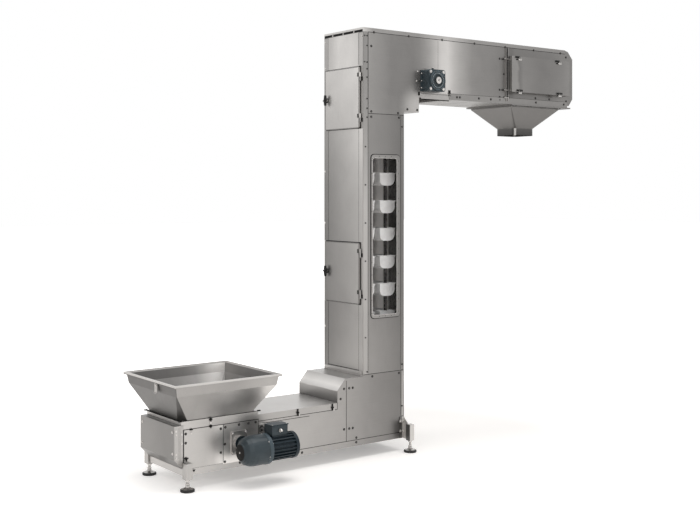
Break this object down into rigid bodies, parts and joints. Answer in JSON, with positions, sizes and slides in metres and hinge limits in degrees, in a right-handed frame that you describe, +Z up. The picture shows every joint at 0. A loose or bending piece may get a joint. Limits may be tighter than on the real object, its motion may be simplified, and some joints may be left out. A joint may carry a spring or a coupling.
{
  "type": "bucket elevator",
  "caption": "Z-shaped bucket elevator: low base with square feed hopper, windowed column with hinged doors, and top boom with a tapered discharge chute.",
  "frame": {"origin": "middle of the machine's box on the floor", "axes": "+X along the machine from the feed hopper to the discharge end, +Y from the drive side to the back, +Z up"},
  "size_m": [4.439, 1.016, 3.6],
  "materials": {
    "stainless_sheet": "brushed stainless sheet",
    "door_sheet": "brushed stainless sheet, vertical grain",
    "machined_steel": "bright machined steel",
    "drive_grey": "satin blue-grey paint",
    "latch_black": "black moulded latch",
    "foot_rubber": "black foot pad with steel stem",
    "clear_sheet": "clear window sheet",
    "bucket_white": "white moulded bucket"
  },
  "bodies": {
    "machine": {"base_back_plate": "stainless_sheet", "base_cover": "stainless_sheet", "base_deck": "stainless_sheet", "base_drive_shaft": "machined_steel", "base_front_plate": "stainless_sheet", "base_pan": "stainless_sheet", "boom_back_plate": "stainless_sheet", "boom_front_plate": "stainless_sheet", "boom_lid": "stainless_sheet", "boom_pan": "stainless_sheet", "boot_back_plate": "stainless_sheet", "boot_end_plate": "stainless_sheet", "boot_front_plate": "stainless_sheet", "boot_hood": "stainless_sheet", "bucket_chain": "bucket_white", "column_back_foot": "foot_rubber", "column_back_leg": "stainless_sheet", "column_back_panel": "stainless_sheet", "column_front_foot": "foot_rubber", "column_front_leg": "stainless_sheet", "column_front_panel": "stainless_sheet", "column_right_panel": "stainless_sheet", "discharge_chute": "stainless_sheet", "discharge_flange": "stainless_sheet", "drive_bearing": "machined_steel", "drive_motor": "drive_grey", "drive_plate": "stainless_sheet", "elbow_bottom": "stainless_sheet", "gear_reducer": "drive_grey", "head_back_plate": "stainless_sheet", "head_cover": "stainless_sheet", "head_end_cover": "stainless_sheet", "head_front_plate": "stainless_sheet", "hopper": "stainless_sheet", "hopper_flange": "stainless_sheet", "hopper_hook": "stainless_sheet", "inspection_panel": "stainless_sheet", "left_back_post": "stainless_sheet", "left_front_post": "stainless_sheet", "left_lower_panel": "stainless_sheet", "left_middle_panel": "stainless_sheet", "left_top_panel": "stainless_sheet", "tail_back_foot": "foot_rubber", "tail_back_leg": "stainless_sheet", "tail_cover": "stainless_sheet", "tail_front_foot": "foot_rubber", "tail_front_leg": "stainless_sheet", "terminal_box": "drive_grey", "upper_drive_shaft": "machined_steel", "upper_gearbox": "drive_grey", "upper_gearbox_hub": "machined_steel", "window_frame": "stainless_sheet", "window_pane": "clear_sheet"},
    "lower_door": {"lower_door": "door_sheet"},
    "upper_door": {"upper_door": "door_sheet"},
    "lower_handle": {"lower_handle": "latch_black"},
    "upper_handle": {"upper_handle": "latch_black"}
  },
  "joints": [
    {"name": "lower_door_hinge", "type": "hinge", "parent": "machine", "child": "lower_door", "pos_m": [-0.3885, -0.1655, 1.5345], "axis": [0, 0, 1], "range_deg": [0, 110]},
    {"name": "lower_handle_turn", "type": "hinge", "parent": "lower_door", "child": "lower_handle", "pos_m": [-0.4118, 0.293, 1.5345], "axis": [1, 0, 0], "range_deg": [0, 90]},
    {"name": "upper_door_hinge", "type": "hinge", "parent": "machine", "child": "upper_door", "pos_m": [-0.3885, -0.1655, 3.0145], "axis": [0, 0, 1], "range_deg": [0, 110]},
    {"name": "upper_handle_turn", "type": "hinge", "parent": "upper_door", "child": "upper_handle", "pos_m": [-0.4118, 0.293, 3.0145], "axis": [1, 0, 0], "range_deg": [0, 90]}
  ]
}
